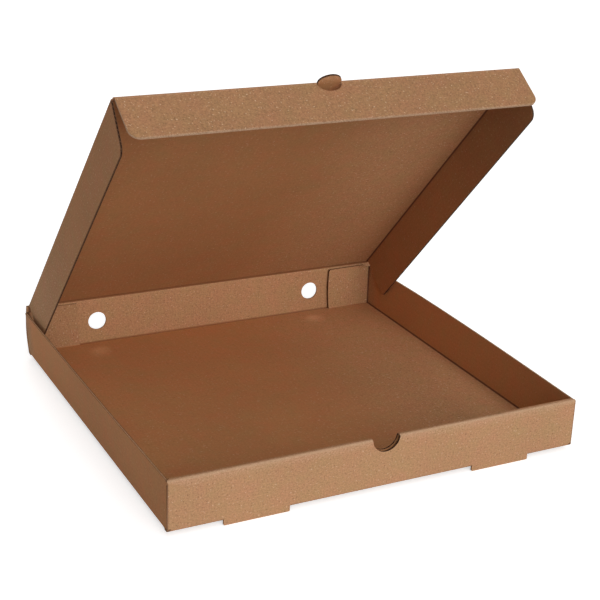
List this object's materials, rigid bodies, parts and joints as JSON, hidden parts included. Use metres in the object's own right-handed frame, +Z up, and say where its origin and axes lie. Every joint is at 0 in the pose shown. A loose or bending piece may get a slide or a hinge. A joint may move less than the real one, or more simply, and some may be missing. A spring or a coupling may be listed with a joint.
{
  "type": "pizza box",
  "caption": "Folded corrugated cardboard pizza box with a hinged tuck-front lid, a thumb notch in its rolled-over front wall and round vents in the back wall.",
  "frame": {"origin": "under the middle of the tray, at the height of the feet's lower ends", "axes": "+Z up; +Y from the front wall to the back wall; +X to the right, seen from the front"},
  "size_m": [0.33, 0.324, 0.2791],
  "materials": {
    "kraft_board": "uncoated brown kraft liner, matt"
  },
  "bodies": {
    "tray": {"tray": "kraft_board"},
    "lid": {"lid": "kraft_board"},
    "lid_front_flap": {"lid_front_flap": "kraft_board"},
    "lid_left_flap": {"lid_left_flap": "kraft_board"},
    "lid_right_flap": {"lid_right_flap": "kraft_board"}
  },
  "joints": [
    {"name": "lid_hinge", "type": "hinge", "parent": "tray", "child": "lid", "pos_m": [0, 0.162, 0.0469], "axis": [-1, 0, 0], "range_deg": [-46.75, 133.6]},
    {"name": "front_flap_hinge", "type": "hinge", "parent": "lid", "child": "lid_front_flap", "pos_m": [0, -0.05357, 0.27328], "axis": [1, 0, 0], "range_deg": [-83.5, 6.5]},
    {"name": "left_flap_hinge", "type": "hinge", "parent": "lid", "child": "lid_left_flap", "pos_m": [-0.1617, 0.16091, 0.04587], "axis": [0, -0.6896, 0.7242], "range_deg": [0, 85]},
    {"name": "right_flap_hinge", "type": "hinge", "parent": "lid", "child": "lid_right_flap", "pos_m": [0.1617, 0.16091, 0.04587], "axis": [0, 0.6896, -0.7242], "range_deg": [0, 85]}
  ]
}
